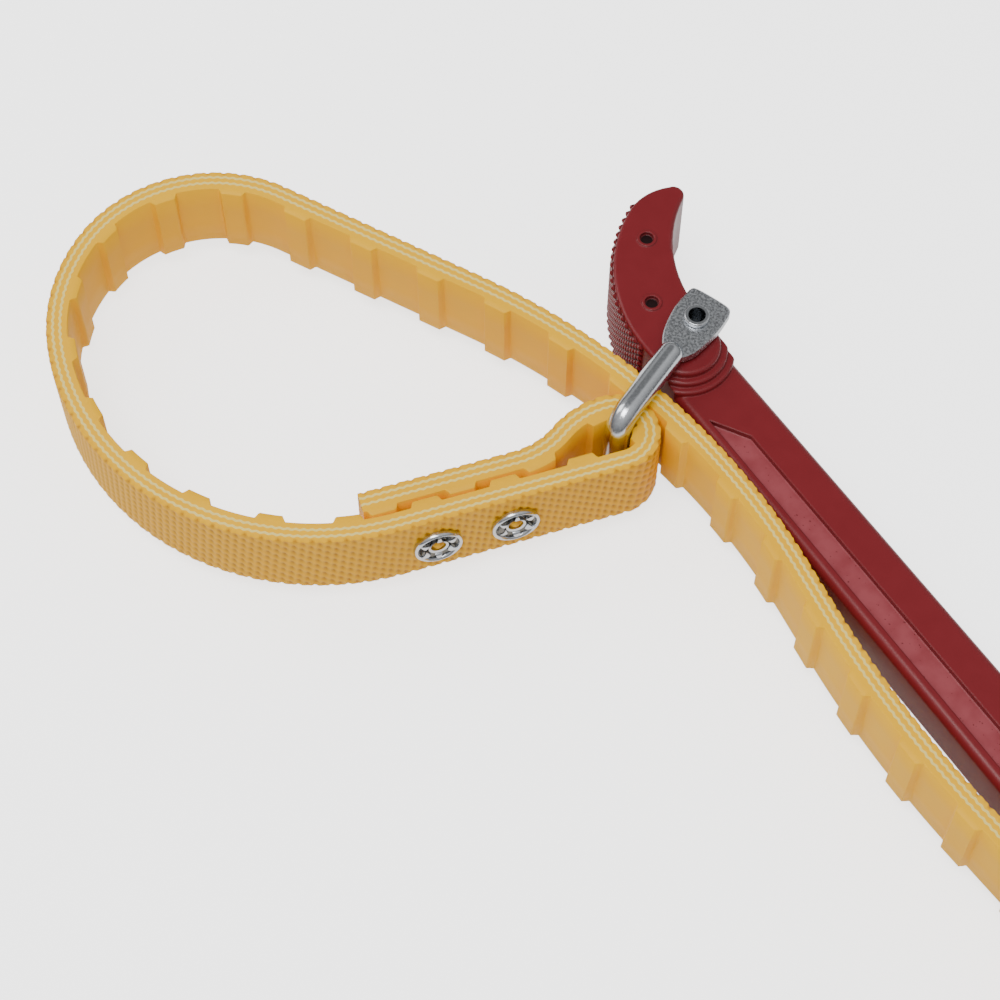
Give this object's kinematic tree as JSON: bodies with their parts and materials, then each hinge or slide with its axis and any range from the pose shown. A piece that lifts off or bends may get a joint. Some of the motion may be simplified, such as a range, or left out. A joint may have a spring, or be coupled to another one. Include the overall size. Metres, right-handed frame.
{
  "type": "oil filter wrench",
  "caption": "Strap wrench for filter housings: long cast handle with a crescent head, a hinged wire shackle and a toothed rubber strap looped round its bar.",
  "frame": {"origin": "on the pivot rivet's axis, at mid-height of the handle", "axes": "+X along the arm towards its end, +Z along the pivot rivet"},
  "size_m": [0.3784, 0.1657, 0.0358],
  "materials": {
    "handle_paint": "deep red gloss paint on a die casting",
    "zinc_plate": "bright zinc plating",
    "strap_rubber": "moulded yellow rubber, toothed inside and knurled outside",
    "strap_ply": "pale woven reinforcing ply"
  },
  "bodies": {
    "handle": {"handle_casting": "handle_paint", "pivot_rivet": "zinc_plate"},
    "shackle": {"shackle": "zinc_plate"},
    "strap": {"strap_ring_rubber": "strap_rubber", "strap_ring_outer_ply": "strap_ply", "strap_ring_inner_ply": "strap_ply", "eyelet_1": "zinc_plate", "eyelet_2": "zinc_plate", "eyelet_1_washer": "zinc_plate", "eyelet_2_washer": "zinc_plate", "strap_flex_rubber": "strap_rubber", "strap_flex_outer_ply": "strap_ply", "strap_flex_inner_ply": "strap_ply"},
    "tail": {"strap_tail_rubber": "strap_rubber", "strap_tail_outer_ply": "strap_ply", "strap_tail_inner_ply": "strap_ply"}
  },
  "joints": [
    {"name": "shackle_pivot", "type": "hinge", "parent": "handle", "child": "shackle", "pos_m": [0, 0, 0], "axis": [0, 0, 1], "range_deg": [-24, 0]},
    {"name": "strap_on_bar", "type": "hinge", "parent": "shackle", "child": "strap", "pos_m": [0.01371, -0.03393, 0], "axis": [0, 0, 1], "range_deg": [-6, 0]},
    {"name": "tail_bend", "type": "hinge", "parent": "strap", "child": "tail", "pos_m": [0.03172, -0.01799, 0], "axis": [0, 0, 1], "range_deg": [0, 24], "deforming": ["strap_flex_rubber", "strap_flex_outer_ply", "strap_flex_inner_ply"]}
  ],
  "couplings": [
    {"joint": "tail_bend", "follows": "shackle_pivot", "ratio": -1}
  ]
}
